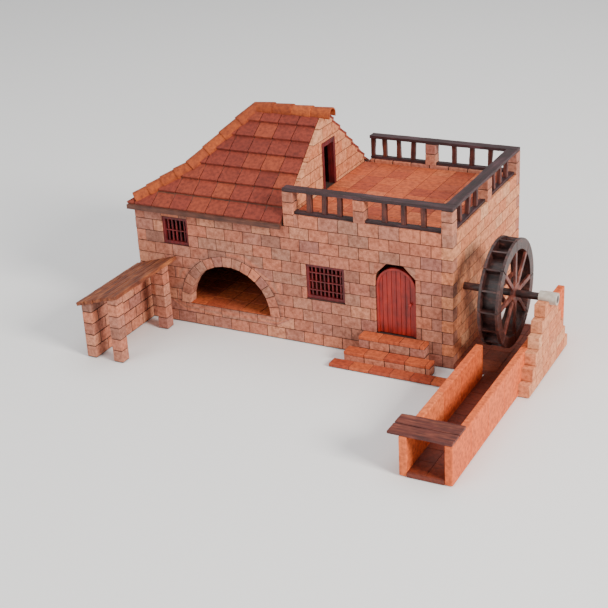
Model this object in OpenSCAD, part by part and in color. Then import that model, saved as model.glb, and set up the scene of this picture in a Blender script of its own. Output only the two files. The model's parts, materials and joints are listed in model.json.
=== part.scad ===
// Ceramic-brick scale model of a watermill: a small brick house with a tiled half-hipped roof and a
// flat roof terrace, a plank-covered lean-to, and a water wheel in a slab-lined race at its side.
// X runs along the front, from the lean-to to the wheel, Y runs from the front to the back, Z is up.
// Inside the modules the house's front left corner is at x = 0, y = 0; placed() moves the origin.

/* [Bricks] */
// Height of one course of bricks with its joint
course_h = 8.75; // [7:0.25:10.5]
// Width of a brick, which is the thickness of every wall
wall_t = 7.5; // [6:0.5:9]

/* [House] */
// Length of the house front
house_w = 247.5; // [220:0.5:300]
// Depth of the house
house_d = 135; // [115:0.5:165]
// Length of the left part, under the tiled roof, with its gable
left_w = 131.25; // [120:0.25:150]
// Courses in the walls under the tiled roof
left_courses = 10; // [10:1:12]
// Courses in the walls around the terrace
terrace_courses = 11; // [11:1:13]
// Height of the ground floor above the ground
floor_z = 16; // [12:0.5:17]
// Thickness of each floor
floor_t = 3; // [2:0.5:5]
// Height of the terrace floor's top below the top of the terrace walls
terrace_drop = 2.25; // [1:0.25:5]

/* [Arch] */
// Distance from the left corner to the middle of the arch
arch_x = 75; // [66:0.5:82]
// Inner radius of the round arch
arch_r = 33.75; // [26:0.25:38]
// Thickness of the ring of bricks around the arch
arch_ring = 7.5; // [5:0.5:8]

/* [Windows] */
// Left side of the small upper window
upper_window_x = 22.5; // [15:0.5:30]
// Width of the small upper window
upper_window_w = 22; // [16:0.5:30]
// Height of the small upper window
upper_window_h = 21; // [14:0.5:22]
// Left side of the large window
window_x = 138.5; // [136:0.5:150]
// Width of the large window
window_w = 30; // [20:0.5:34]
// Height of the large window
window_h = 26; // [18:0.5:30]
// Width of the window frames' bars
frame_w = 2.2; // [1.5:0.1:3]
// Depth of the window frames
frame_t = 3; // [2:0.1:4]

/* [Door] */
// Left side of the doorway
door_x = 191.25; // [188:0.25:205]
// Width of the doorway
door_w = 30; // [22:0.5:34]
// Height of the round-headed door leaf
door_h = 49; // [40:0.5:51]
// Thickness of the door leaf
door_t = 3; // [2:0.1:5]
// Gap around the door leaf
door_gap = 0.5; // [0.3:0.1:0.8]
// How far the door leaf is set back from the face of the wall
door_recess = 1; // [0.5:0.1:1.2]

/* [Steps] */
// Depth of each tread
tread_d = 9; // [7:0.5:12]
// Thickness of a tread's tiles
tread_t = 2.2; // [1.5:0.1:3]
// Width of the top step
top_step_w = 48; // [42:0.5:54]
// How much wider each lower step is on each side
step_side = 7.5; // [4:0.5:10]

/* [Tiled roof] */
// Distance from the left wall to the hipped end of the ridge
ridge_in = 70; // [56:1:84]
// Height of the roof's ridge above the ground
ridge_z = 149; // [140:1:165]
// Distance inwards from the left wall to the hipped end's change of pitch
kink_x = 36; // [28:0.5:44]
// Height of the roof at that change of pitch, above the ground
kink_z = 114; // [108:0.5:118]
// Overhang of the eaves
eave = 4; // [2:0.5:6]
// Upright thickness of the roof
roof_t = 3.2; // [2.5:0.1:5]
// Upright distance from the top of the walls to the top of the tiles above their outer faces
eave_rise = 5; // [5:0.1:6]
// Radius of the ridge and hip tiles
cap_r = 5.5; // [4:0.1:7]
// Depth of their centre below the roof's edges
cap_sink = 1; // [0.5:0.1:2]

/* [Gable] */
// How far the gable's outer face is set back from the end of the left part
gable_set = 5; // [0:0.5:6]
// How much of the gable wall's top shows past the roof
gable_show = 3.75; // [1:0.25:7]
// How far the ridge tiles reach past the gable's outer face
ridge_over = 5; // [0:0.5:6]

/* [Attic doorway] */
// Width of the doorway in the gable
attic_w = 21; // [14:0.5:22]
// Height of the doorway in the gable, above the terrace floor
attic_h = 35; // [26:0.5:36]
// Width of the doorway's wooden frame
attic_frame_w = 3; // [1.5:0.1:3.5]

/* [Terrace railing] */
// Height of the brick posts above the terrace walls
post_h = 16.5; // [12:0.5:20]
// Distance from the left corner to the middle posts of the front and the back
mid_post_x = 177; // [165:0.5:200]
// Distance from the front to the middle post of the right side
mid_post_y = 66.75; // [50:0.25:80]
// Width of the top rails
rail_w = 8; // [6:0.5:9]
// Thickness of the top rails
rail_t = 2.5; // [2:0.1:3.5]
// Width of the lower rails
low_rail_w = 4.5; // [3:0.1:6]
// Thickness of the lower rails
low_rail_t = 2.4; // [2:0.1:3.5]
// Width of the balusters
baluster_w = 3.2; // [2.5:0.1:4]

/* [Lean-to] */
// How far the lean-to stands out from the front
leanto_d = 75; // [60:1:90]
// Distance from the left corner to the outer face of the brick pillars
leanto_w = 30; // [26:0.5:34]
// Height of the roof's top over the left side
leanto_low = 43; // [38:0.5:46]
// Height of the roof's top over its right edge
leanto_high = 52; // [50:0.5:56]
// Thickness of the plank roof
leanto_t = 3; // [2:0.1:4]
// Overhang of the plank roof at its side and near edges
leanto_eave = 3; // [2:0.5:6]
// Distance from the front wall to the far pillar
far_pillar_y = 9; // [6:0.5:20]

/* [Water race] */
// Distance from the house to the outer face of the race's right wall
race_out = 52.5; // [46:0.5:60]
// Clear width of the race in front of the wheel
race_w = 23.5; // [20:0.5:28]
// Thickness of the slabs that wall the race
slab_t = 5; // [3:0.5:6]
// Height of the race's walls
race_h = 26.25; // [20:0.25:30]
// Distance from the house front to the open end of the race
race_front = 137; // [110:1:160]
// Distance from the house front to the race's back end
race_back = 79; // [74:1:95]
// Place of the left wall's end, before the wheel, counted back from the house front
race_left_end = -8; // [-12:1:-5]
// Distance from the axle to where the right wall rises behind it
race_rise = 23; // [16:1:30]
// Height of the race's right wall behind the wheel
race_back_h = 37; // [30:0.5:44]
// Thickness of the race's floor
race_floor_t = 3; // [2:0.5:5]
// Width of each plank of the footbridge
plank_w = 11; // [8:0.5:13]
// Thickness of the footbridge's planks
plank_t = 2; // [1.5:0.1:3]
// Gap between the two planks
plank_gap = 0.6; // [0.3:0.1:2]
// How far the planks reach past the race's left wall
plank_over = 7.5; // [3:0.5:10]

/* [Bearing wall] */
// Courses in the stepped wall that carries the outer end of the axle
bearing_courses = 6; // [6:1:7]
// Length of the lowest course
bearing_l = 84; // [78:1:96]
// How far each course steps back at each end
bearing_step = 6; // [5:0.1:6.5]

/* [Wheel] */
// Radius of the water wheel
wheel_r = 37; // [30:0.5:39]
// Width of the water wheel
wheel_w = 14; // [11:0.5:17]
// Distance from the house to the inner side of the wheel
wheel_gap = 22.5; // [20:0.5:26]
// Distance from the house front to the axle
axle_y = 21; // [19:0.5:34]
// Radius of the axle
axle_r = 2.5; // [2:0.1:3]
// Radial clearance of the axle in its bearings
axle_gap = 0.05; // [0.03:0.01:0.09]
// Depth of the wheel's rims, from the outside to their inner edge
rim_d = 7.5; // [5:0.5:9]
// Thickness of the rims
rim_t = 2; // [1.5:0.1:3]
// Thickness of the drum that closes the buckets on the inside
sole_t = 1.2; // [1:0.1:2]
// Number of buckets
bucket_n = 16; // [12:2:24]
// Thickness of the bucket boards
bucket_t = 1.2; // [1:0.1:2]
// Number of spokes on each side
spoke_n = 8; // [6:2:10]
// Width of a spoke
spoke_w = 3.2; // [2:0.1:4]
// Radius of the wheel's hub
hub_r = 7; // [5:0.5:9]
// Outer radius of the sleeve on the bearing wall
sleeve_r = 4.2; // [3.6:0.1:5]
// Length of the sleeve
sleeve_l = 12; // [9:0.5:15]
// Height of the axle's middle above the bearing wall, so the sleeve lies in a round groove
axle_rise = 0.5; // [0:0.1:3]

/* [Hidden] */
$fn = 96;

brick_pink = "#b98273";
brick_peach = "#d8a184";
tile_red = "#a85a46";
tile_orange = "#c0663a";
floor_tile = "#c56a4c";
slab_orange = "#d8794e";
wood_dark = "#4c3036";
wood_plank = "#7a4032";
wood_wheel = "#3a2420";
maroon = "#7c1f1d";
sleeve_white = "#cfc6bd";

// Heights and inner edges that several pieces share
left_z = left_courses * course_h;
terrace_wall_z = terrace_courses * course_h;
terrace_z = terrace_wall_z - terrace_drop;
post_x = left_w - wall_t;
gable_out = left_w - gable_set;
gable_in = gable_out - wall_t;
roof_x = gable_out - gable_show;
roof_slope = (ridge_z - left_z - eave_rise) / (house_d / 2);
eave_z = left_z + eave_rise - roof_slope * eave;
race_left_x = house_w + race_out - slab_t - race_w - slab_t;
sill_z = 2 * course_h;
cut = 1;

// The box around everything, whose bottom centre is the origin
box_x = [-max(eave, leanto_eave), house_w + race_out + sleeve_l];
box_y = [-race_front, house_d + eave];
module placed() translate([-(box_x[0] + box_x[1]) / 2, -(box_y[0] + box_y[1]) / 2, 0]) children();

// A box from its low corner to its high corner
module block(low, high) translate(low) cube(high - low);

// An outline in Y and Z, drawn out along X between two places
module along_x(x0, x1) translate([x0, 0, 0]) rotate([90, 0, 90]) linear_extrude(x1 - x0) children();

// An outline in X and Z, drawn out along Y between two places
module along_y(y0, y1) translate([0, y1, 0]) rotate([90, 0, 0]) linear_extrude(y1 - y0) children();

// Everything under the front and back slopes, as seen along the ridge, up to a depth below their tops
module under_slopes(depth) along_x(-eave, left_w) polygon([
    [-eave, 0], [house_d + eave, 0], [house_d + eave, eave_z - depth], [house_d / 2, ridge_z - depth],
    [-eave, eave_z - depth]
]);

// Everything under the hipped end's two pitches, as seen from the front, up to the same depth
module under_hip(depth) along_y(-eave, house_d + eave) polygon([
    [-eave, 0], [left_w, 0], [left_w, ridge_z - depth], [ridge_in, ridge_z - depth],
    [kink_x, kink_z - depth], [-eave, eave_z - depth]
]);

// A piece of wall under the tiled roof, up to the roof, and past the roof's end up to the wall top
module left_block_wall(low, high) {
    intersection() {
        block(low, [min(high[0], roof_x), high[1], ridge_z]);
        under_slopes(roof_t);
        under_hip(roof_t);
    }
    if (high[0] > roof_x) block([roof_x, low[1], low[2]], [high[0], high[1], left_z]);
}

// ---- Walls and floors -------------------------------------------------------------------------

module ground_floor() color(floor_tile) placed()
    block([wall_t, wall_t, floor_z - floor_t], [house_w - wall_t, house_d - wall_t, floor_z]);

// Front wall of the left part, with the round-headed passage and the small upper window
module front_wall_left() color(brick_pink) placed() difference() {
    left_block_wall([0, 0, 0], [left_w, wall_t, left_z]);
    arch_opening(arch_r + arch_ring);
    block([upper_window_x, -cut, upper_window_z()],
        [upper_window_x + upper_window_w, wall_t + cut, upper_window_z() + upper_window_h]);
}

// The passage: a half circle that springs from the ground floor
module arch_opening(r) intersection() {
    along_y(-cut, wall_t + cut) translate([arch_x, floor_z]) circle(r);
    block([arch_x - r - cut, -2 * cut, floor_z], [arch_x + r + cut, wall_t + 2 * cut, floor_z + r + cut]);
}

module arch_ring_bricks() color(brick_pink) placed() along_y(0, wall_t)
    translate([arch_x, floor_z]) intersection() {
        difference() {
            circle(arch_r + arch_ring);
            circle(arch_r);
        }
        translate([-2 * arch_r, 0]) square([4 * arch_r, 2 * arch_r]);
    }

function upper_window_z() = 7 * course_h;
function window_z() = 4 * course_h + 0.5;

module front_wall_middle() color(brick_pink) placed() difference() {
    block([left_w, 0, 0], [door_x, wall_t, terrace_wall_z]);
    block([window_x, -cut, window_z()], [window_x + window_w, wall_t + cut, window_z() + window_h]);
}

module front_wall_door_sill() color(brick_pink) placed()
    block([door_x, 0, 0], [door_x + door_w, wall_t, sill_z]);

// The wall over the doorway, whose lower corners are bricks cut at 45 degrees
door_top = 8 * course_h;
head_cut = (2 - sqrt(2)) * door_w / 2;
module front_wall_door_head() color(brick_pink) placed() along_y(0, wall_t) polygon([
    [door_x, terrace_wall_z], [door_x, door_top - head_cut], [door_x + head_cut, door_top],
    [door_x + door_w - head_cut, door_top], [door_x + door_w, door_top - head_cut],
    [door_x + door_w, terrace_wall_z]
]);

module front_wall_right() color(brick_pink) placed()
    block([door_x + door_w, 0, 0], [house_w, wall_t, terrace_wall_z]);

module left_wall() color(brick_pink) placed()
    left_block_wall([0, wall_t, 0], [wall_t, house_d - wall_t, left_z]);

module back_wall_left() color(brick_pink) placed()
    left_block_wall([0, house_d - wall_t, 0], [left_w, house_d, left_z]);

module back_wall_right() color(brick_pink) placed()
    block([left_w, house_d - wall_t, 0], [house_w, house_d, terrace_wall_z]);

// Right wall, with the hole that the axle turns in
module right_wall() color(brick_peach) placed() difference() {
    block([house_w - wall_t, wall_t, 0], [house_w, house_d - wall_t, terrace_wall_z]);
    axle_hole(house_w - wall_t - cut, house_w + cut);
}

module upper_floor() color(floor_tile) placed()
    block([wall_t, wall_t, upper_window_z() - floor_t], [left_w, house_d - wall_t, upper_window_z()]);

module attic_floor() color(floor_tile) placed()
    block([wall_t, wall_t, left_z - floor_t], [left_w, house_d - wall_t, left_z]);

module terrace_floor() color(floor_tile) placed()
    block([gable_out, wall_t, terrace_z - floor_t], [house_w - wall_t, house_d - wall_t, terrace_z]);

// ---- Gable --------------------------------------------------------------------------------------

attic_y = (house_d - attic_w) / 2;
module gable_wall() color(brick_peach) placed() difference() {
    union() {
        intersection() {
            block([gable_in, wall_t, left_z], [gable_out, house_d - wall_t, ridge_z]);
            under_slopes(roof_t);
        }
        intersection() {
            block([roof_x, wall_t, left_z], [gable_out, house_d - wall_t, ridge_z]);
            under_slopes(0);
        }
    }
    block([gable_in - cut, attic_y, terrace_z],
        [gable_out + cut, attic_y + attic_w, terrace_z + attic_h]);
}

module attic_door_frame() color(maroon) placed() difference() {
    block([gable_out - 4, attic_y, terrace_z], [gable_out + 0.6, attic_y + attic_w, terrace_z + attic_h]);
    block([gable_in, attic_y + attic_frame_w, terrace_z - cut],
        [gable_out + cut, attic_y + attic_w - attic_frame_w, terrace_z + attic_h - attic_frame_w]);
}

// ---- Windows ------------------------------------------------------------------------------------

// A rectangular frame set near the outer face of the wall
module window_frame(x, z, w, h) difference() {
    block([x, 1, z], [x + w, 1 + frame_t, z + h]);
    block([x + frame_w, 0, z + frame_w], [x + w - frame_w, 2 + frame_t, z + h - frame_w]);
}

module upper_window_frame() color(maroon) placed()
    window_frame(upper_window_x, upper_window_z(), upper_window_w, upper_window_h);

module large_window_frame() color(maroon) placed()
    window_frame(window_x, window_z(), window_w, window_h);

// ---- Door ---------------------------------------------------------------------------------------

// A leaf with a half-round head, set back from the outer face of the wall
module door_leaf() color(maroon) placed() {
    leaf_w = door_w - 2 * door_gap;
    along_y(door_recess, door_recess + door_t) translate([door_x + door_w / 2, sill_z + door_gap]) {
        translate([-leaf_w / 2, 0]) square([leaf_w, door_h - leaf_w / 2]);
        translate([0, door_h - leaf_w / 2]) intersection() {
            circle(leaf_w / 2);
            translate([-leaf_w, 0]) square([2 * leaf_w, leaf_w]);
        }
    }
}

// ---- Steps --------------------------------------------------------------------------------------

step_mid = door_x + door_w / 2;
module step(n, top) {
    half = top_step_w / 2 + n * step_side;
    block([step_mid - half, -(n + 1) * tread_d, 0], [step_mid + half, -n * tread_d, top]);
}

module step_top() color(floor_tile) placed() step(0, sill_z);
module step_middle() color(floor_tile) placed() step(1, course_h);

// The lowest step is one row of tiles on the ground, which runs on to the race
module step_bottom() color(floor_tile) placed()
    block([step_mid - top_step_w / 2 - 2 * step_side, -3 * tread_d, 0], [race_left_x, -2 * tread_d, tread_t]);

// ---- Tiled roof ---------------------------------------------------------------------------------

// The front slope, from the eave to the ridge, cut off along the hip
module slope() intersection() {
    difference() {
        under_slopes(0);
        under_slopes(roof_t);
    }
    under_hip(0);
    block([-eave, -eave, 0], [roof_x, house_d / 2, ridge_z]);
}

// The same on the other side of the ridge
module at_back() translate([0, house_d, 0]) mirror([0, 1, 0]) children();

module roof_front() color(tile_red) placed() slope();
module roof_back() color(tile_red) placed() at_back() slope();

module roof_hip() color(tile_red) placed() intersection() {
    difference() {
        under_hip(0);
        under_hip(roof_t);
    }
    under_slopes(roof_t);
    block([-eave, -eave, 0], [ridge_in, house_d + eave, ridge_z]);
}

// The places where the roof's planes meet, at the depth of the ridge tiles' centres
kink_y = (kink_z - left_z - eave_rise) / roof_slope;
hip_foot = [-eave, -eave, eave_z - cap_sink];
hip_kink = [kink_x, kink_y, kink_z - cap_sink];
hip_top = [ridge_in, house_d / 2, ridge_z - cap_sink];

// A straight run of ridge tiles between two points
module run(from, to) {
    way = to - from;
    translate(from) rotate([0, acos(way[2] / norm(way)), atan2(way[1], way[0])])
        cylinder(h = norm(way), r = cap_r, $fn = 12);
}

// The tiles on the front hip, over the low pitch and over the steep one
module hip_row() difference() {
    intersection() {
        union() {
            run(hip_foot, hip_kink);
            run(hip_kink, hip_top);
        }
        block([-eave, -eave, 0], [ridge_in, house_d / 2, ridge_z + cap_r]);
    }
    intersection() {
        under_slopes(0);
        under_hip(0);
    }
}

module hip_tiles_front() color(tile_orange) placed() hip_row();
module hip_tiles_back() color(tile_orange) placed() at_back() hip_row();

module ridge_tiles() color(tile_orange) placed() difference() {
    run(hip_top, [gable_out + ridge_over, house_d / 2, ridge_z - cap_sink]);
    under_slopes(0);
}

// ---- Terrace railing ----------------------------------------------------------------------------

post_top = terrace_wall_z + post_h;

// A square brick post that stands on the wall, from its lower left corner
module post(x, y, z) block([x, y, z], [x + wall_t, y + wall_t, post_top]);

module terrace_posts() color(brick_pink) placed() {
    post(post_x, 0, left_z);
    post(mid_post_x, 0, terrace_wall_z);
    post(mid_post_x, house_d - wall_t, terrace_wall_z);
    post(house_w - wall_t, 0, terrace_wall_z);
    post(house_w - wall_t, mid_post_y, terrace_wall_z);
    post(house_w - wall_t, house_d - wall_t, terrace_wall_z);
}

// The rails on top of the posts, along the front, the right side and the back
rail_over = (rail_w - wall_t) / 2;
module rail(low, high) color(wood_dark) placed()
    block([low[0], low[1], post_top], [high[0], high[1], post_top + rail_t]);

module top_rail_front() rail([post_x - rail_over, -rail_over], [house_w + rail_over, rail_w - rail_over]);
module top_rail_side() rail([house_w - rail_w + rail_over, rail_w - rail_over],
    [house_w + rail_over, house_d - rail_w + rail_over]);
module top_rail_back() rail([left_w, house_d - rail_w + rail_over],
    [house_w + rail_over, house_d + rail_over]);

// One bay between two posts, along X from zero: a lower rail and three balusters under the top rail
module bay(length, end_baluster = false) {
    low_top = low_rail_t;
    translate([0, -low_rail_w / 2, 0]) cube([length, low_rail_w, low_top]);
    for (i = [end_baluster ? 0 : 1:3])
        translate([i == 0 ? 0 : i * length / 4 - baluster_w / 2, -baluster_w / 2, low_top])
            cube([baluster_w, baluster_w, post_h - low_top]);
}

module bay_x(x0, x1, y, end_baluster = false)
    translate([x0, y, terrace_wall_z]) bay(x1 - x0, end_baluster);
module bay_y(y0, y1) translate([house_w - wall_t / 2, y0, terrace_wall_z]) rotate([0, 0, 90]) bay(y1 - y0);

module front_balusters_left() color(wood_dark) placed() bay_x(left_w, mid_post_x, wall_t / 2);
module front_balusters_right() color(wood_dark) placed()
    bay_x(mid_post_x + wall_t, house_w - wall_t, wall_t / 2);
module side_balusters_front() color(wood_dark) placed() bay_y(wall_t, mid_post_y);
module side_balusters_back() color(wood_dark) placed() bay_y(mid_post_y + wall_t, house_d - wall_t);
module back_balusters_left() color(wood_dark) placed()
    bay_x(left_w, mid_post_x, house_d - wall_t / 2, true);
module back_balusters_right() color(wood_dark) placed()
    bay_x(mid_post_x + wall_t, house_w - wall_t, house_d - wall_t / 2);

// ---- Lean-to ------------------------------------------------------------------------------------

// Height of the top of the plank roof at a distance from the left side
function leanto_z(x) = leanto_low + (leanto_high - leanto_low) * x / leanto_w;

// A wall or pillar of the lean-to, between two places in X and two in Y, up to the roof's underside
module leanto_mass(x0, x1, y0, y1) along_y(y0, y1)
    polygon([[x0, 0], [x1, 0], [x1, leanto_z(x1) - leanto_t], [x0, leanto_z(x0) - leanto_t]]);

module leanto_wall() color(brick_pink) placed() leanto_mass(0, wall_t, -leanto_d, 0);

module leanto_pillars() color(brick_pink) placed() {
    leanto_mass(leanto_w - wall_t, leanto_w, -leanto_d, -leanto_d + wall_t);
    leanto_mass(leanto_w - wall_t, leanto_w, -far_pillar_y - wall_t, -far_pillar_y);
}

module leanto_roof() color(wood_plank) placed() along_y(-leanto_d - leanto_eave, 0) {
    x0 = -leanto_eave;
    x1 = leanto_w + leanto_eave;
    polygon([
        [x0, leanto_z(x0) - leanto_t], [x1, leanto_z(x1) - leanto_t], [x1, leanto_z(x1)], [x0, leanto_z(x0)]
    ]);
}

// ---- Water race ---------------------------------------------------------------------------------

race_right_x = house_w + race_out;

// The left wall ends before the wheel, the right wall rises behind it
module race_left_wall() color(slab_orange) placed()
    block([race_left_x, -race_front, 0], [race_left_x + slab_t, race_left_end, race_h]);

module race_right_wall() color(slab_orange) placed() along_x(race_right_x - slab_t, race_right_x) polygon([
    [-race_front, 0], [race_back, 0], [race_back, race_back_h], [axle_y + race_rise, race_back_h],
    [axle_y + race_rise, race_h], [-race_front, race_h]
]);

// The floor widens to the house under the wheel
module race_floor() color(floor_tile) placed() {
    block([race_left_x + slab_t, -race_front, 0], [race_right_x - slab_t, race_back, race_floor_t]);
    block([house_w, 0, 0], [race_right_x - slab_t, race_back, race_floor_t]);
}

// Two planks laid across the open end of the race
plank_x0 = race_left_x - plank_over;
module footbridge_planks() color(wood_plank) placed() for (i = [0, 1])
    translate([plank_x0, -race_front + i * (plank_w + plank_gap), race_h])
        cube([race_right_x - plank_x0, plank_w, plank_t]);

// ---- Bearing wall -------------------------------------------------------------------------------

bearing_top = bearing_courses * course_h;
axle_z = bearing_top + axle_rise;

// Courses that step back evenly at both ends, with a groove for the sleeve across the top
module bearing_wall() color(brick_peach) placed() difference() {
    for (i = [0:bearing_courses - 1]) {
        half = bearing_l / 2 - i * bearing_step;
        block([race_right_x, axle_y - half, i * course_h],
            [race_right_x + wall_t, axle_y + half, (i + 1) * course_h]);
    }
    wheel_disc(race_right_x - cut, race_right_x + wall_t + cut, sleeve_r);
}

// The sleeve that the outer end of the axle turns in
module axle_sleeve() color(sleeve_white) placed() difference() {
    wheel_disc(race_right_x, race_right_x + sleeve_l, sleeve_r);
    axle_hole(race_right_x - cut, race_right_x + sleeve_l + cut);
}

// ---- Wheel --------------------------------------------------------------------------------------

wheel_x = house_w + wheel_gap;
wheel_out_x = wheel_x + wheel_w;
rim_in = wheel_r - rim_d;

// A circle around the axle, drawn out between two places in X
module wheel_disc(x0, x1, r) along_x(x0, x1) translate([axle_y, axle_z]) circle(r);

module axle_hole(x0, x1) wheel_disc(x0, x1, axle_r + axle_gap);

module rim(x) difference() {
    wheel_disc(x, x + rim_t, wheel_r);
    wheel_disc(x - cut, x + rim_t + cut, rim_in);
}

module wheel_inner_rim() color(wood_wheel) placed() rim(wheel_x);
module wheel_outer_rim() color(wood_wheel) placed() rim(wheel_out_x - rim_t);

// The drum behind the buckets and the radial bucket boards, between the two rims
module wheel_buckets() color(wood_wheel) placed() {
    x0 = wheel_x + rim_t;
    x1 = wheel_out_x - rim_t;
    difference() {
        wheel_disc(x0, x1, rim_in + sole_t);
        wheel_disc(x0 - cut, x1 + cut, rim_in);
    }
    for (i = [0:bucket_n - 1]) translate([x0, axle_y, axle_z]) rotate([i * 360 / bucket_n, 0, 0])
        translate([0, rim_in + sole_t / 2, -bucket_t / 2])
            cube([x1 - x0, rim_d - sole_t, bucket_t]);
}

// One side's spokes: a hub and bars out to the inner edge of the rim
module spokes(x) difference() {
    intersection() {
        union() {
            wheel_disc(x, x + rim_t, hub_r);
            for (i = [0:spoke_n - 1]) translate([x, axle_y, axle_z]) rotate([i * 360 / spoke_n, 0, 0])
                translate([0, 0, -spoke_w / 2]) cube([rim_t, rim_in, spoke_w]);
        }
        wheel_disc(x - cut, x + rim_t + cut, rim_in);
    }
    wheel_disc(x - cut, x + rim_t + cut, axle_r);
}

module wheel_inner_spokes() color(wood_wheel) placed() spokes(wheel_x);
module wheel_outer_spokes() color(wood_wheel) placed() spokes(wheel_out_x - rim_t);

module axle() color(wood_wheel) placed()
    wheel_disc(house_w - wall_t, race_right_x + sleeve_l, axle_r);

// ---- Nodes ----------------------------------------------------------------------------------------

ground_floor();
front_wall_left();
arch_ring_bricks();
front_wall_middle();
front_wall_door_sill();
front_wall_door_head();
front_wall_right();
left_wall();
back_wall_left();
back_wall_right();
right_wall();
upper_floor();
attic_floor();
terrace_floor();
gable_wall();
attic_door_frame();
upper_window_frame();
large_window_frame();
step_top();
step_middle();
step_bottom();
roof_front();
roof_back();
roof_hip();
ridge_tiles();
hip_tiles_front();
hip_tiles_back();
terrace_posts();
top_rail_front();
top_rail_side();
top_rail_back();
front_balusters_left();
front_balusters_right();
side_balusters_front();
side_balusters_back();
back_balusters_left();
back_balusters_right();
leanto_wall();
leanto_pillars();
leanto_roof();
race_floor();
race_left_wall();
race_right_wall();
footbridge_planks();
bearing_wall();
axle_sleeve();
door_leaf();
wheel_inner_rim();
wheel_outer_rim();
wheel_buckets();
wheel_inner_spokes();
wheel_outer_spokes();
axle();
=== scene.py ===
import json
import math
import random

import bmesh
import bpy
from mathutils import Matrix, Vector


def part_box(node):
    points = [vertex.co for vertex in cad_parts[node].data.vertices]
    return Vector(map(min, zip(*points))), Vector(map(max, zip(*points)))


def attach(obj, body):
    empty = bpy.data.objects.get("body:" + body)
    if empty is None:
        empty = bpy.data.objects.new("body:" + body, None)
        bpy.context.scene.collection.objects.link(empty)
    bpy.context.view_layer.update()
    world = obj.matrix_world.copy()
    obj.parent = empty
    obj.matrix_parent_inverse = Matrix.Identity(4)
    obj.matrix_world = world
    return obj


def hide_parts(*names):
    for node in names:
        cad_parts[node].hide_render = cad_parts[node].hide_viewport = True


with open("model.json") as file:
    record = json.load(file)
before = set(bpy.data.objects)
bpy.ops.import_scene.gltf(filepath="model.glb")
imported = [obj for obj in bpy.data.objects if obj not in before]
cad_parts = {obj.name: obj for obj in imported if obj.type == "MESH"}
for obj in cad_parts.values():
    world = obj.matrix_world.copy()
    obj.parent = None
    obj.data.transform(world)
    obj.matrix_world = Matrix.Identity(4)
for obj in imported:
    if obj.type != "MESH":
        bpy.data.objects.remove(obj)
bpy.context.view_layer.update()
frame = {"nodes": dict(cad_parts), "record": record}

# ---- Brick walls ---------------------------------------------------------------------------------
# The walls are little fired-clay bricks, 15 mm long and 7.5 mm thick, glued in courses of 8.75 mm.
# They are laid in stretcher bond and interlock at the corners, so an end shows in every other course.
# The joints are narrow and left open, with dark glue inside them.

BRICK, WALL, COURSE = 15.0, 7.5, 8.75
FRONT_W, DEPTH, LEFT_W = 247.5, 135.0, 131.25
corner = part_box("front_wall_left")[0]


def at(x, y, z):
    """A place in the house's own millimetres, counted from the foot of its front left corner."""
    return Vector((corner.x + x / 1000, corner.y + y / 1000, z / 1000))


def srgb(r, g, b):
    """A clay or stain colour, made deeper and purer so that it holds under the studio light."""
    grey = (r + g + b) / 3
    return tuple(max(0.0, (grey + 1.25 * (c - grey)) * 0.88 / 255) ** 2.2 for c in (r, g, b)) + (1.0,)


class Link:
    """A shader socket that sums can be written on."""

    def __init__(self, paint, socket):
        self.paint, self.socket = paint, socket

    def __add__(self, v):
        return self.paint.add("Math", {"operation": "ADD"}, self, v)

    def __mul__(self, v):
        return self.paint.add("Math", {"operation": "MULTIPLY"}, self, v)

    __radd__, __rmul__ = __add__, __mul__


class Paint:
    """One material, built node by node."""

    def __init__(self, name):
        self.material = bpy.data.materials.new(name)
        self.material.use_nodes = True
        self.tree = self.material.node_tree
        self.tree.nodes.clear()

    def add(self, kind, settings, *values, out=0, **named):
        """Any node: its type, its settings, then the values or links of its sockets."""
        node = self.tree.nodes.new("ShaderNode" + kind)
        stops = settings.pop("stops", None)
        for key, value in settings.items():
            setattr(node, key, value)
        if stops:
            ramp = node.color_ramp.elements
            while len(ramp) < len(stops):
                ramp.new(0.5)
            for element, (place, colour) in zip(ramp, stops):
                element.position, element.color = place, colour
        for key, value in [*enumerate(values), *((k.replace("_", " "), v) for k, v in named.items())]:
            if isinstance(value, Link):
                self.tree.links.new(value.socket, node.inputs[key])
            else:
                node.inputs[key].default_value = value
        return Link(self, node.outputs[out]) if len(node.outputs) else None

    def place(self, stretch=(1, 1, 1)):
        coords = self.add("TexCoord", {}, out="Object")
        return self.add("Mapping", {}, coords, Scale=stretch)

    def noise(self, scale, detail=3.0, stretch=(1, 1, 1)):
        return self.add("TexNoise", {}, Vector=self.place(stretch), Scale=scale, Detail=detail)

    def ramp(self, value, *stops):
        return self.add("ValToRGB", {"stops": stops}, value)

    def mix(self, share, a, b, way="MIX"):
        node = self.tree.nodes.new("ShaderNodeMix")
        node.data_type, node.blend_type = "RGBA", way
        for key, value in ((0, share), (6, a), (7, b)):
            if isinstance(value, Link):
                self.tree.links.new(value.socket, node.inputs[key])
            else:
                node.inputs[key].default_value = value
        return Link(self, node.outputs[2])

    def finish(self, colour, roughness, height, depth=0.0003, coat=0.0):
        bump = self.add("Bump", {}, Strength=0.6, Distance=depth, Height=height)
        shader = self.add("BsdfPrincipled", {}, Base_Color=colour, Roughness=roughness, Normal=bump,
                          Coat_Weight=coat)
        self.add("OutputMaterial", {}, Surface=shader)
        return self.material


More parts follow.
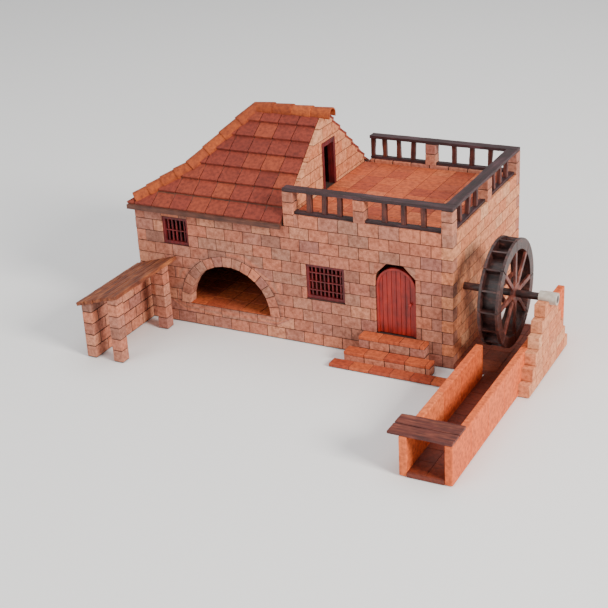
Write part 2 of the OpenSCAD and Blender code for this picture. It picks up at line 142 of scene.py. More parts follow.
def clay(name, tones, dirt=0.35, rough=0.82):
    """Fired clay whose pieces differ in tone, clouded and finely pitted."""
    p = Paint(name)
    tone = p.add("Attribute", {"attribute_name": "tone"}, out="Fac")
    base = p.ramp(tone, *((i / (len(tones) - 1), srgb(*t)) for i, t in enumerate(tones)))
    cloud = p.ramp(p.noise(420, 6), (0.38, (1, 1, 1, 1)), (0.75, srgb(205, 186, 178)))
    speck = p.ramp(p.noise(1900, 2), (0.32, srgb(166, 130, 116)), (0.46, (1, 1, 1, 1)))
    colour = p.mix(dirt, p.mix(1.0, base, cloud, "MULTIPLY"), speck, "MULTIPLY")
    grain = p.noise(1400, 4)
    return p.finish(colour, grain * 0.16 + (rough - 0.08), grain + p.noise(260, 3) * 1.6)


front_tones = [(160, 118, 104), (206, 136, 112), (184, 138, 120), (218, 146, 118), (176, 124, 112),
               (222, 160, 132)]
# The next tones are the front bricks again, painted lighter and warmer as painted sunlight for the sides
# that face the warm lamp; the front tones show the bricks as they look in shade.
painted_sunlit_tones = [(218, 142, 106), (232, 160, 122), (236, 170, 134), (224, 148, 112), (240, 182, 146)]
pink_brick = clay("pink_brick", front_tones)
painted_sunlit_brick = clay("painted_sunlit_brick", painted_sunlit_tones)
joint = Paint("dark_glue_in_joints")
joint = joint.finish(joint.ramp(joint.noise(500), (0.3, srgb(44, 28, 25)), (0.7, srgb(74, 48, 40))), 0.95,
                     joint.noise(1500))


def masonry_tree():
    """Geometry Nodes that put one block on every point, sized, turned and toned by its own attributes."""
    tree = bpy.data.node_groups.new("masonry", "GeometryNodeTree")
    face = tree.interface
    face.new_socket("Geometry", in_out="INPUT", socket_type="NodeSocketGeometry")
    face.new_socket("Joint", in_out="INPUT", socket_type="NodeSocketVector")
    face.new_socket("Unevenness", in_out="INPUT", socket_type="NodeSocketFloat")
    face.new_socket("Seed", in_out="INPUT", socket_type="NodeSocketInt")
    face.new_socket("Finish", in_out="INPUT", socket_type="NodeSocketMaterial")
    face.new_socket("Geometry", in_out="OUTPUT", socket_type="NodeSocketGeometry")
    new, link = tree.nodes.new, tree.links.new
    given, made = new("NodeGroupInput"), new("NodeGroupOutput")
    size, turn = new("GeometryNodeInputNamedAttribute"), new("GeometryNodeInputNamedAttribute")
    for node, name in ((size, "size"), (turn, "turn")):
        node.data_type = "FLOAT_VECTOR"
        node.inputs["Name"].default_value = name
    gap = new("ShaderNodeVectorMath")
    gap.operation = "SUBTRACT"
    block, put = new("GeometryNodeMeshCube"), new("GeometryNodeInstanceOnPoints")
    low = new("ShaderNodeVectorMath")
    low.operation = "MULTIPLY"
    low.inputs[1].default_value = (-1, -1, -1)
    wobble, sway = new("FunctionNodeRandomValue"), new("GeometryNodeRotateInstances")
    wobble.data_type = "FLOAT_VECTOR"
    tone, store = new("FunctionNodeRandomValue"), new("GeometryNodeStoreNamedAttribute")
    store.domain, store.data_type = "INSTANCE", "FLOAT"
    store.inputs["Name"].default_value = "tone"
    real, paint = new("GeometryNodeRealizeInstances"), new("GeometryNodeSetMaterial")
    link(given.outputs["Geometry"], put.inputs["Points"])
    link(block.outputs["Mesh"], put.inputs["Instance"])
    link(size.outputs["Attribute"], gap.inputs[0])
    link(given.outputs["Joint"], gap.inputs[1])
    link(gap.outputs["Vector"], put.inputs["Scale"])
    link(turn.outputs["Attribute"], put.inputs["Rotation"])
    link(given.outputs["Unevenness"], low.inputs[0])
    link(low.outputs["Vector"], wobble.inputs["Min"])
    link(given.outputs["Unevenness"], wobble.inputs["Max"])
    link(given.outputs["Seed"], wobble.inputs["Seed"])
    link(given.outputs["Seed"], tone.inputs["Seed"])
    link(put.outputs["Instances"], sway.inputs["Instances"])
    link(wobble.outputs["Value"], sway.inputs["Rotation"])
    link(sway.outputs["Instances"], store.inputs["Geometry"])
    link(tone.outputs[1], store.inputs["Value"])
    link(store.outputs["Geometry"], real.inputs["Geometry"])
    link(real.outputs["Geometry"], paint.inputs["Geometry"])
    link(given.outputs["Finish"], paint.inputs["Material"])
    link(paint.outputs["Geometry"], made.inputs["Geometry"])
    return tree


masonry = masonry_tree()


def shown(name, data):
    """Puts a mesh, lamp or camera into the scene as an object."""
    obj = bpy.data.objects.new(name, data)
    bpy.context.collection.objects.link(obj)
    return obj


def worn(obj, round_off, segments):
    """Rounds a piece's sharp edges, to a width in millimetres."""
    soft = obj.modifiers.new("worn edges", "BEVEL")
    soft.width, soft.segments = round_off / 1000, segments
    soft.limit_method, soft.angle_limit = "ANGLE", 0.6


def evaluated(obj):
    """A plain mesh of an object with its modifiers."""
    return bpy.data.meshes.new_from_object(obj.evaluated_get(bpy.context.evaluated_depsgraph_get()))


def settle(obj, name, body):
    """Turns an object and its modifiers into a plain mesh that rides on a body."""
    mesh = evaluated(obj)
    bpy.data.objects.remove(obj)
    done = shown(name, mesh)
    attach(done, body)
    return done


def refinish(finish, *nodes):
    """Gives solids of the frame their finish."""
    for node in nodes:
        materials = frame["nodes"][node].data.materials
        materials.clear()
        materials.append(finish)


def trimmed(mesh, cuts):
    """Cuts every block of a mesh by planes, each a place and the way that is cut off, and closes it."""
    bm = bmesh.new()
    bm.from_mesh(mesh)
    for place, away in cuts:
        bmesh.ops.bisect_plane(bm, geom=[*bm.verts, *bm.edges, *bm.faces], dist=1e-7, plane_co=place,
                               plane_no=away, clear_outer=True)
        bmesh.ops.holes_fill(bm, edges=[e for e in bm.edges if e.is_boundary], sides=0)
    bm.to_mesh(mesh)
    bm.free()


def lay(name, blocks, finish, seed, gap=(0.5, 0, 0.5), uneven=0.006, round_off=0.35, cuts=(),
        cutters=()):
    """Lays blocks, each given by its middle, size and turn, then cuts them to shape."""
    mesh = bpy.data.meshes.new(name)
    mesh.from_pydata([at(*b[0]) for b in blocks], [], [])
    size = mesh.attributes.new("size", "FLOAT_VECTOR", "POINT")
    turn = mesh.attributes.new("turn", "FLOAT_VECTOR", "POINT")
    for i, b in enumerate(blocks):
        size.data[i].vector = Vector(b[1]) / 1000
        turn.data[i].vector = b[2]
    obj = shown(name, mesh)
    grid = obj.modifiers.new("laying", "NODES")
    grid.node_group = masonry
    given = {"Joint": [g / 1000 for g in gap], "Unevenness": uneven, "Seed": seed, "Finish": finish}
    for item in masonry.interface.items_tree:
        if item.in_out == "INPUT" and item.name in given:
            grid[item.identifier] = given[item.name]
    for cutter in cutters:
        trim = obj.modifiers.new("trim", "BOOLEAN")
        trim.operation, trim.solver = "DIFFERENCE", "EXACT"
        trim.object, trim.material_mode = cutter, "TRANSFER"
        cutter.data.materials.append(finish)
    laid = evaluated(obj)
    for spent in (obj, *cutters):
        bpy.data.objects.remove(spent)
    if cuts:
        trimmed(laid, cuts)
    obj = shown(name, laid)
    worn(obj, round_off, 1)
    return settle(obj, name, "house")


def solid(name, outline, axis, a, b):
    """A closed prism: an outline in the two other axes, drawn out along x or y between two places."""
    order = {"x": lambda u, v, w: (w, u, v), "y": lambda u, v, w: (u, w, v)}
    bm = bmesh.new()
    ends = [[bm.verts.new(at(*order[axis](u, v, w))) for u, v in outline] for w in (a, b)]
    bm.faces.new(ends[0])
    bm.faces.new(list(reversed(ends[1])))
    for i in range(len(outline)):
        j = (i + 1) % len(outline)
        bm.faces.new((ends[0][j], ends[0][i], ends[1][i], ends[1][j]))
    bmesh.ops.recalc_face_normals(bm, faces=bm.faces)
    mesh = bpy.data.meshes.new(name)
    bm.to_mesh(mesh)
    bm.free()
    return shown(name, mesh)


def round_outline(u, v, radius, steps, sweep=math.tau):
    """Points round a centre: a full turn, or a part of one with both its ends."""
    count = steps if sweep == math.tau else steps + 1
    return [(u + radius * math.cos(sweep * t / steps), v + radius * math.sin(sweep * t / steps))
            for t in range(count)]


def block(x0, x1, y0, y1, z0, z1):
    """An unturned block's middle, size and turn, from its lowest and highest places."""
    return ((x0 + x1) / 2, (y0 + y1) / 2, (z0 + z1) / 2), (x1 - x0, y1 - y0, z1 - z0), (0, 0, 0)


PROUD, END, REVEAL = 0.25, 0.5, 0.3
SHORTEST, THINNEST, BITE, TOP_COURSE = 2.5, 1, 0.6, 10


def course(low, high, first, bottom, top, holes=(), ends=(0, 0)):
    """One course between two places, cut round holes given as (low, high, bottom, top)."""
    cut = [h for h in holes if h[2] < top - BITE and h[3] > bottom + BITE]
    sides = sorted({m for h in cut for m in h[:2] if low < m < high})
    marks = [first + BRICK * k for k in range(20)]
    marks = [m for m in marks if low + SHORTEST < m < high - SHORTEST]
    marks = [m for m in marks if all(abs(m - e) > SHORTEST for e in sides)]
    marks = sorted([low, high, *marks, *sides])
    for a, b in zip(marks, marks[1:]):
        z0, z1, a1, b1 = bottom, top, a, b
        for h in cut:
            if h[0] < (a + b) / 2 < h[1]:
                over, under = h[3] < top - THINNEST, h[2] > bottom + THINNEST
                z0, z1 = (h[3], z1) if over else (z0, h[2]) if under else (z1, z1)
            a1 -= REVEAL if a == h[1] else 0
            b1 += REVEAL if b == h[0] else 0
        if z1 > z0:
            yield a1 - (ends[0] if a == low else 0), b1 + (ends[1] if b == high else 0), z0, z1


def front_or_back(y0, holes):
    """The courses of a wall along X, whose ends show in the even courses."""
    blocks = []
    for c in range(TOP_COURSE + 1):
        even, last = c % 2 == 0, c == TOP_COURSE
        low = LEFT_W if last else 0 if even else WALL
        high = FRONT_W if even else FRONT_W - WALL
        z = c * COURSE
        for a, b, z0, z1 in course(low, high, 0 if even else WALL, z, z + COURSE, holes,
                                   (END if even and not last else 0, END if even else 0)):
            blocks.append(block(a, b, y0 - PROUD, y0 + WALL + PROUD, z0, z1 + (END if last else 0)))
    return blocks


def side(x0, courses):
    """The courses of a wall along Y, whose ends show in the odd courses."""
    blocks = []
    for c in courses:
        inset, end = (WALL, 0) if c % 2 == 0 else (0, END)
        z = c * COURSE
        for a, b, z0, z1 in course(inset, DEPTH - inset, inset, z, z + COURSE, (), (end, end)):
            blocks.append(block(x0 - PROUD, x0 + WALL + PROUD, a, b, z0,
                                z1 + (END if c == TOP_COURSE else 0)))
    return blocks


ALONG_Y = (0, 0.5, 0.5)
ARCH_X, SPRING, ARCH_R, RING = 75.0, 16.0, 33.75, 7.5
AXLE_HOLE_R = 2.6
UPPER = (22.5, 44.5, 61.25, 82.25)
LARGE = (138.5, 168.5, 35.5, 61.5)
DOORWAY = (191.25, 221.25, 17.5, 70.0)
axle_place = Vector(frame["record"]["behaviour"]["joints"][0]["pos_m"]) * 1000
AXLE_Y, AXLE_Z = axle_place.y - corner.y * 1000, axle_place.z
round_hole = solid("arch_cutter", round_outline(ARCH_X, SPRING, ARCH_R + RING, 48, math.pi), "y", -5, 12)
lay("front_bricks", front_or_back(0, [UPPER, LARGE, DOORWAY]), pink_brick, 3,
    cutters=[round_hole])
lay("back_bricks", front_or_back(DEPTH - WALL, []), pink_brick, 5)
lay("left_side_bricks", side(0, range(TOP_COURSE)), pink_brick, 6, ALONG_Y)
axle_hole = solid("axle_cutter", round_outline(AXLE_Y, AXLE_Z, AXLE_HOLE_R, 24), "x", 235, 252)
# Painted sunlight: the right wall takes the lighter, warmer copy of the brick colour.
lay("right_side_bricks", side(FRONT_W - WALL, range(TOP_COURSE + 1)), painted_sunlit_brick, 7, ALONG_Y,
    cutters=[axle_hole])

refinish(joint, "front_wall_left", "arch_ring_bricks", "front_wall_middle", "front_wall_door_sill",
         "front_wall_door_head", "front_wall_right", "left_wall", "back_wall_left", "back_wall_right",
         "right_wall", "gable_wall", "terrace_posts", "leanto_wall", "leanto_pillars", "upper_floor",
         "attic_floor")

# ---- Arch and door head --------------------------------------------------------------------------
# Wedge-shaped bricks on edge make a half-round ring over the passage, each cut to the ring's slope.
# Over the doorway two bricks are cut off at 45 degrees, so the round-headed door meets their slants.


def keep(bm, name, finish, body="house", round_off=0.3):
    """Turns loose closed shapes into one piece with worn edges."""
    bmesh.ops.recalc_face_normals(bm, faces=bm.faces)
    mesh = bpy.data.meshes.new(name)
    bm.to_mesh(mesh)
    bm.free()
    mesh.materials.append(finish)
    obj = shown(name, mesh)
    if round_off:
        worn(obj, round_off, 2)
    return settle(obj, name, body)


def shape(bm, ends, tone):
    """Adds a closed piece between two like outlines, with its own tone."""
    layer = bm.verts.layers.float.get("tone") or bm.verts.layers.float.new("tone")
    rings = [[bm.verts.new(at(*p)) for p in end] for end in ends]
    for ring in rings:
        for v in ring:
            v[layer] = tone
    bm.faces.new(rings[0])
    bm.faces.new(list(reversed(rings[-1])))
    for low, high in zip(rings, rings[1:]):
        for i in range(len(low)):
            j = (i + 1) % len(low)
            bm.faces.new((low[j], low[i], high[i], high[j]))


draw = random.Random(12)
bm = bmesh.new()
WEDGES = 15
for k in range(WEDGES):
    a0, a1 = (math.pi * (k + e) / WEDGES for e in (0.03, 0.97))
    outline = [(ARCH_X + r * math.cos(a), SPRING + r * math.sin(a))
               for r, a in ((ARCH_R - 0.2, a0), (ARCH_R + RING - 0.2, a0), (ARCH_R + RING - 0.2, a1),
                            (ARCH_R - 0.2, a1))]
    out = draw.uniform(0.3, 0.6)
    shape(bm, [[(x, -out, z) for x, z in outline], [(x, WALL + 0.3, z) for x, z in outline]],
          draw.random())
HEAD_CUT = (2 - math.sqrt(2)) * (DOORWAY[1] - DOORWAY[0]) / 2
HEAD_TOP = DOORWAY[3]
for a, b in ((DOORWAY[0], DOORWAY[0] + HEAD_CUT), (DOORWAY[1], DOORWAY[1] - HEAD_CUT)):
    outline = [(a, HEAD_TOP - 0.2), (b, HEAD_TOP - 0.2), (a, HEAD_TOP - HEAD_CUT)]
    shape(bm, [[(x, -0.3, z) for x, z in outline], [(x, WALL + 0.3, z) for x, z in outline]],
          draw.random())
keep(bm, "arch_and_door_head_bricks", pink_brick)

# ---- Gable ---------------------------------------------------------------------------------------
# The gable over the terrace is brick too, its courses cut to the slopes of the roof. A narrow wooden
# frame in the middle leaves a doorway from the attic to the terrace.

RIDGE_Z, EAVE, EAVE_TOP, GABLE_OUT, ROOF_X = 149.0, 4.0, 92.5, 126.25, 122.5
PITCH = (RIDGE_Z - EAVE_TOP) / (DEPTH / 2)
EAVE_Z = EAVE_TOP - PITCH * EAVE
ATTIC_DOOR = (57.0, 78.0, 94.0, 129.0)
gable = []
for c in range(TOP_COURSE, 17):
    z, first = c * COURSE, WALL if c % 2 == 0 else 0
    for a, b, z0, z1 in course(WALL, DEPTH - WALL, first, z, z + COURSE, [ATTIC_DOOR]):
        gable.append(block(ROOF_X + 0.3, GABLE_OUT + PROUD, a, b, z0, z1))
# Painted sunlight: the gable takes the lighter, warmer copy of the brick colour.
lay("gable_bricks", gable, painted_sunlit_brick, 9, ALONG_Y,
    cuts=[(at(0, 0, EAVE_TOP + 1.2), (0, -PITCH, 1)), (at(0, DEPTH, EAVE_TOP + 1.2), (0, PITCH, 1))])


def timber(name, tones, stretch, gloss=0.55, coat=0.0):
    """Stained wood with its grain along one axis."""
    p = Paint(name)
    grain = p.noise(420, 6, stretch)
    streak = p.noise(1300, 3, stretch)
    base = p.ramp(grain * 0.7 + streak * 0.3, *((0.3 + 0.4 * i / (len(tones) - 1), srgb(*t))
                                                for i, t in enumerate(tones)))
    worn = p.ramp(p.noise(160, 4), (0.4, (1, 1, 1, 1)), (0.8, srgb(190, 165, 150)))
    return p.finish(p.mix(1.0, base, worn, "MULTIPLY"), streak * 0.2 + (gloss - 0.1), grain + streak, 0.0004,
                    coat)


red_upright = timber("red_stained_upright", [(62, 18, 24), (104, 32, 36), (130, 48, 46)], (1, 1, 0.12))
refinish(red_upright, "attic_door_frame", "upper_window_frame", "large_window_frame")

# ---- Tiled roof ----------------------------------------------------------------------------------
# Flat clay tiles, 15 mm wide, lie in seven rows with their joints in line down the slope. Each row's
# lower edge rests on the row below. The hipped end has three rows at a low pitch and four at a steep one.

roof_clay = clay("roof_clay", [(122, 56, 44), (138, 66, 52), (150, 74, 56), (130, 60, 48), (158, 82, 58)],
                 0.3)
KINK_X, KINK_Z, RIDGE_IN = 36.0, 114.0, 70.0
KINK_Y = (KINK_Z - EAVE_TOP) / PITCH
ROWS, TILE_T, LIFT, LAP = 7, 1.8, 2.3, 2.2


def slope_tiles(foot, head, rows, columns):
    """Tiles in rows and columns from a foot to a head, both given as (run, height) up the slope.

    Each comes as its middle along the eaves, width, run, height, length and pitch.
    """
    length = math.dist(foot, head)
    pitch = math.atan2(head[1] - foot[1], head[0] - foot[0])
    show = length / rows
    tilt = math.atan2(LIFT, show + LAP)
    for row in range(rows):
        for low, high in columns:
            s = row * show + (show + LAP) / 2
            up = (LIFT - 0.4) / 2 - TILE_T / 2 + 0.3
            run = foot[0] + s * math.cos(pitch) - up * math.sin(pitch)
            height = foot[1] + s * math.sin(pitch) + up * math.cos(pitch)
            yield (low + high) / 2, high - low, run, height, show + LAP, pitch - tilt


def columns_of(low, high, start, step=BRICK):
    """Columns in line with a starting edge that cover a stretch."""
    marks = [start + step * k for k in range(-20, 20)]
    marks = [low] + [m for m in marks if low + 3 < m < high - 3] + [high]
    return list(zip(marks, marks[1:]))


def right_of(a, b):
    """An upright cut through two places in plan, that takes off what lies to the right of the way."""
    return at(*a, 0), (b[1] - a[1], a[0] - b[0], 0)


def mirrored(p):
    """The same place in plan on the other side of the ridge."""
    return p[0], DEPTH - p[1]


CORNER, KINK, PEAK = (-EAVE, -EAVE), (KINK_X, KINK_Y), (RIDGE_IN, DEPTH / 2)
EAVE_FOOT = (-EAVE + 1.4, EAVE_Z + 0.3)
for front, name in ((True, "roof_front_tiles"), (False, "roof_back_tiles")):
    edge = ROOF_X + 0.2 if front else GABLE_OUT + 0.7
    low_part, steep_part = [], []
    for mid, wide, run, height, long, pitch in slope_tiles(EAVE_FOOT, (DEPTH / 2, RIDGE_Z), ROWS,
                                                           columns_of(-20, edge, ROOF_X + 0.2)):
        y = run if front else DEPTH - run
        tile = (mid, y, height), (wide, long, TILE_T), (pitch if front else -pitch, 0, 0)
        (low_part if mid < KINK_X else steep_part).append(tile)
    for part, a, b, end in ((low_part, KINK, CORNER, "_low"), (steep_part, PEAK, KINK, "_high")):
        cut = right_of(a, b) if front else right_of(mirrored(b), mirrored(a))
        lay(name + end, part, roof_clay, 21 + len(part), (0.6, 0, 0), 0.004, 0.25, [cut])
tiles = []
for foot, head, rows in ((EAVE_FOOT, (KINK_X, KINK_Z), 3), ((KINK_X, KINK_Z), (RIDGE_IN, RIDGE_Z), 4)):
    for mid, wide, run, height, long, pitch in slope_tiles(foot, head, rows,
                                                           columns_of(-EAVE, DEPTH + EAVE, DEPTH / 2 - 7.5)):
        tiles.append(((run, mid, height), (long, wide, TILE_T), (0, -pitch, 0)))
lay("roof_hip_tiles", tiles, roof_clay, 25, (0, 0.6, 0), 0.004, 0.25,
    [right_of(CORNER, KINK), right_of(KINK, PEAK), right_of(mirrored(KINK), mirrored(CORNER)),
     right_of(mirrored(PEAK), mirrored(KINK))])
board = timber("roof_board", [(70, 44, 36), (98, 62, 50), (120, 80, 62)], (0.12, 1, 1))
refinish(board, "roof_front", "roof_back", "roof_hip")

# ---- Ridge and hip tiles -------------------------------------------------------------------------
# Hollow half-round tiles of a more orange clay cover the ridge and both hips. Each is a little wider
# at its lower end and laps over the next, and the ridge's open end stands out past the gable.

cap_clay = clay("cap_clay", [(150, 76, 42), (172, 92, 50), (158, 82, 48), (184, 102, 60)], 0.3)
CAP_R, CAP_T, SWELL = 5.5, 1.1, 0.9


def caps(bm, start, end, count, draw):
    """Half-round tiles from the upper end to the lower end of a straight run."""
    start, end = Vector(start), Vector(end)
    way = (end - start).normalized()
    side = way.cross(Vector((0, 0, 1))).normalized()
    up = side.cross(way).normalized()
    step = (end - start).length / count
    for k in range(count):
        rings = []
        for s, r in ((step * k - 0.8, CAP_R - SWELL), (step * (k + 1) + 0.9, CAP_R)):
            s = max(s, 0)
            middle = start + way * s + up * (0.25 if s else 0)
            ring = []
            arc = [math.radians(a) for a in range(-112, 113, 16)]
            for a in arc:
                ring.append(middle + (side * math.sin(a) + up * math.cos(a)) * r)
            for a in reversed(arc):
                ring.append(middle + (side * math.sin(a) + up * math.cos(a)) * (r - CAP_T))
            rings.append(ring)
        shape(bm, rings, draw.random())


draw = random.Random(31)
SINK = 1.0
top = (RIDGE_IN, DEPTH / 2, RIDGE_Z - SINK)
for front, name, node in ((True, "hip_front_caps", "hip_tiles_front"),
                          (False, "hip_back_caps", "hip_tiles_back")):
    bm = bmesh.new()
    kink = (KINK_X, KINK_Y if front else DEPTH - KINK_Y, KINK_Z - SINK)
    foot = (-EAVE + 6.2, -EAVE + 6.0 if front else DEPTH + EAVE - 6.0, EAVE_Z - SINK + 4.2)
    caps(bm, top, kink, 4, draw)
    caps(bm, kink, foot, 4, draw)
    hip = keep(bm, name, cap_clay, round_off=0.2)
    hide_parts(node)
bm = bmesh.new()
ridge_low = RIDGE_Z - SINK - 0.3
caps(bm, (RIDGE_IN - 2, DEPTH / 2, ridge_low), (GABLE_OUT + 4, DEPTH / 2, ridge_low), 4, draw)
ridge = keep(bm, "ridge_caps", cap_clay, round_off=0.2)
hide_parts("ridge_tiles")

# ---- Floors and steps ----------------------------------------------------------------------------
# Square terracotta tiles cover the ground floor and the terrace. The steps are brick with thin
# terracotta treads, and the lowest tread is a row of tiles on the ground up to the race.

terracotta = clay("terracotta", [(186, 96, 62), (204, 112, 74), (172, 84, 58), (214, 126, 88)], 0.35, 0.75)


def paving(x0, x1, y0, y1, z, step_x=BRICK, step_y=BRICK):
    """Tiles whose tops lie just over a floor, clipped at its edges."""
    return [block(a, b, c, d, z - 0.5, z + 0.3) for a, b in columns_of(x0, x1, x0, step_x)
            for c, d in columns_of(y0, y1, y0, step_y)]


TERRACE_Z, GROUND_Z = 94, 16
FLOOR_RIGHT, FLOOR_BACK = 239.6, 127.1
lay("terrace_tiles", paving(GABLE_OUT + 0.7, FLOOR_RIGHT, 7.9, FLOOR_BACK, TERRACE_Z), terracotta,
    41, (0.4, 0.4, 0), 0.003, 0.2)
lay("ground_tiles", paving(8, FLOOR_RIGHT, 0.4, FLOOR_BACK, GROUND_Z), terracotta, 42,
    (0.4, 0.4, 0), 0.003, 0.2)
STEP_MID, TREAD, TREAD_T = 206.25, 9.0, 2.2
treads, risers = [], []
for n, (half, high) in enumerate(((24, 17.5), (31.5, 8.75))):
    near, far = -(n + 1) * TREAD, -n * TREAD
    for a, b in columns_of(STEP_MID - half - 0.3, STEP_MID + half + 0.3, STEP_MID - half):
        treads.append(block(a, b, near - 0.6, far - 0.3, high - TREAD_T, high + 0.3))
    for c in range(2 - n):
        under = (c + 1) * COURSE - (TREAD_T if c + n else 0)
        start = STEP_MID - half - (BRICK / 2 if c % 2 else 0)
        for a, b in columns_of(STEP_MID - half - 0.3, STEP_MID + half + 0.3, start):
            risers.append(block(a, b, near - 0.3, far - 0.3, c * COURSE, under))
for a, b in columns_of(STEP_MID - 39.3, 266.4, STEP_MID - 39):
    treads.append(block(a, b, -3 * TREAD - 0.3, -2 * TREAD - 0.3, 0.1, TREAD_T + 0.3))
lay("step_treads", treads, terracotta, 43, (0.35, 0, 0), 0.006, 0.3)
lay("step_bricks", risers, pink_brick, 44)
refinish(joint, "ground_floor", "terrace_floor", "step_top", "step_middle", "step_bottom")

# ---- Terrace railing -----------------------------------------------------------------------------
# Short brick posts carry dark, rough-sawn planks, and crooked sticks stand on lower planks between
# the posts. The wood is stained a purplish brown and worn paler in places.

rail_along_x = timber("rail_along_x", [(30, 16, 18), (58, 36, 40), (92, 66, 72)], (0.1, 1, 1), 0.6)
rail_along_y = timber("rail_along_y", [(30, 16, 18), (58, 36, 40), (92, 66, 72)], (1, 0.1, 1), 0.6)
stick_wood = timber("stick_wood", [(44, 22, 22), (84, 44, 38), (118, 70, 56)], (1, 1, 0.15), 0.6)


def plank(bm, start, end, wide, thick, draw, rough=0.35, flat=(0, 0, 1)):
    """A sawn plank or stick whose edges wander a little; flat is the way its face looks."""
    start, end, flat = Vector(start), Vector(end), Vector(flat)
    way = end - start
    cuts = max(3, round(way.length / 5))
    side = flat.cross(way).normalized()
    rings = []
    sway = [0.0, 0.0]
    for k in range(cuts + 1):
        middle = start + way * k / cuts
        sway = [0.6 * s + draw.uniform(-rough, rough) for s in sway]
        ring = []
        for u, v in ((-1, -1), (0, -1), (1, -1), (1, 0.1), (1, 1), (0, 1), (-1, 1), (-1, 0.1)):
            edge = draw.uniform(-rough, rough) * 0.4
            across = u * wide / 2 + (sway[0] if u < 0 else sway[1]) * 0.5 * abs(u) + edge * 0.5
            ring.append(middle + side * across + flat * (v * thick / 2 + edge * 0.35))
        rings.append(ring)
    shape(bm, rings, draw.random())


draw = random.Random(52)
POST_TOP, LEDGE = 112.75, 96.25
MID_X, MID_Y = 177.0, 66.75
RIGHT_X, BACK_Y = FRONT_W - WALL, DEPTH - WALL
RAIL_W, RAIL_T, LOW_RAIL_W = 7.6, 2.3, 4.4
FRONT_RAIL, SIDE_RAIL, BACK_RAIL = WALL / 2, RIGHT_X + WALL / 2, BACK_Y + WALL / 2
posts = []
for x, y, z in ((LEFT_W - WALL, 0, TOP_COURSE * COURSE), (MID_X, 0, LEDGE), (MID_X, BACK_Y, LEDGE),
                (RIGHT_X, 0, LEDGE), (RIGHT_X, MID_Y, LEDGE), (RIGHT_X, BACK_Y, LEDGE)):
    while z < POST_TOP - 1:
        high = LEDGE if z < 90 else min(z + COURSE, POST_TOP)
        posts.append(block(x - PROUD, x + WALL + PROUD, y - PROUD, y + WALL + PROUD, z, high))
        z = high
lay("post_bricks", posts, pink_brick, 51, (0, 0, 0.35))
bm = bmesh.new()
z, low_z = POST_TOP + 1.25, LEDGE + 1.2
plank(bm, (123.6, FRONT_RAIL, z), (247.6, FRONT_RAIL, z), RAIL_W, RAIL_T, draw)
plank(bm, (131.4, BACK_RAIL, z), (247.6, BACK_RAIL, z), RAIL_W, RAIL_T, draw)
for y in (FRONT_RAIL, BACK_RAIL):
    for a, b in ((131.3, MID_X), (MID_X + WALL, RIGHT_X)):
        plank(bm, (a, y, low_z), (b, y, low_z), LOW_RAIL_W, RAIL_T, draw)
rails = keep(bm, "rails_along_x", rail_along_x, round_off=0.25)
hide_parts("top_rail_front", "top_rail_back")
bm = bmesh.new()
plank(bm, (SIDE_RAIL, 7.7, z), (SIDE_RAIL, 127.3, z), RAIL_W, RAIL_T, draw)
for a, b in ((WALL, MID_Y), (MID_Y + WALL, BACK_Y)):
    plank(bm, (SIDE_RAIL, a, low_z), (SIDE_RAIL, b, low_z), LOW_RAIL_W, RAIL_T, draw)
rails = keep(bm, "rails_along_y", rail_along_y, round_off=0.25)
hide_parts("top_rail_side")
bm = bmesh.new()
bays = [(LEFT_W, MID_X, FRONT_RAIL, "x", 1), (MID_X + WALL, RIGHT_X, FRONT_RAIL, "x", 1),
        (LEFT_W, MID_X, BACK_RAIL, "x", 0), (MID_X + WALL, RIGHT_X, BACK_RAIL, "x", 1),
        (WALL, MID_Y, SIDE_RAIL, "y", 1), (MID_Y + WALL, BACK_Y, SIDE_RAIL, "y", 1)]
for a, b, across, axis, first in bays:
    for k in range(first, 4):
        s = a + (b - a) * k / 4 + (1.6 if k == 0 else 0)
        x, y = (s, across) if axis == "x" else (across, s)
        lean = draw.uniform(-0.5, 0.5)
        foot, head = (x, y, LEDGE + 2.2), (x + lean, y + draw.uniform(-0.3, 0.3), POST_TOP + 0.3)
        plank(bm, foot, head, 3.3, 3.0, draw, 0.5, flat=(0, 1, 0) if axis == "x" else (1, 0, 0))
sticks = keep(bm, "railing_sticks", stick_wood, round_off=0.3)
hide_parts("front_balusters_left", "front_balusters_right", "back_balusters_left",
            "back_balusters_right", "side_balusters_front", "side_balusters_back")

# ---- Windows -------------------------------------------------------------------------------------
# Each window is a red-stained wooden frame with square wooden bars across it, nothing behind them.
# The small one has five uprights and one crossbar, the large one eight uprights and three crossbars.

draw = random.Random(61)
bm = bmesh.new()
for (x0, x1, z0, z1), uprights, crossbars in ((UPPER, 5, 1), (LARGE, 8, 3)):
    for k in range(1, uprights + 1):
        x = x0 + 1 + (x1 - x0 - 2) * k / (uprights + 1)
        plank(bm, (x, 2.6, z0 + 1.5), (x, 2.6, z1 - 1.5), 1.1, 1.1, draw, 0.12, flat=(0, 1, 0))
    for k in range(1, crossbars + 1):
        zc = z0 + (z1 - z0) * k / (crossbars + 1)
        plank(bm, (x0 + 1.5, 1.7, zc), (x1 - 1.5, 1.7, zc), 0.8, 0.8, draw, 0.12, flat=(0, 1, 0))
keep(bm, "window_bars", red_upright, round_off=0.15)

# ---- Door ----------------------------------------------------------------------------------------
# A round-headed leaf of upright boards stained red, with a bent rim nailed round its edge and a small
# round knob. It is hung on its left edge and opens outwards over the steps.

door_wood = timber("door_wood", [(96, 20, 14), (146, 38, 26), (168, 56, 38)], (1, 1, 0.1), 0.5, 0.1)
draw = random.Random(71)
LEAF_X0, LEAF_X1, LEAF_Z, LEAF_H, LEAF_R, LEAF_Y = 191.75, 220.75, 18.0, 49.0, 14.5, 1.0
LEAF_MID, LEAF_SPRING = (LEAF_X0 + LEAF_X1) / 2, LEAF_Z + LEAF_H - LEAF_R
BOARDS, BOARDS_W, BOARD_GAP, BOARD_R = 8, 27, 0.9, 13.6
bm = bmesh.new()


def head_z(x):
    """The height of the boards' rounded tops."""
    return LEAF_SPRING + math.sqrt(max(BOARD_R ** 2 - (x - LEAF_MID) ** 2, 0))


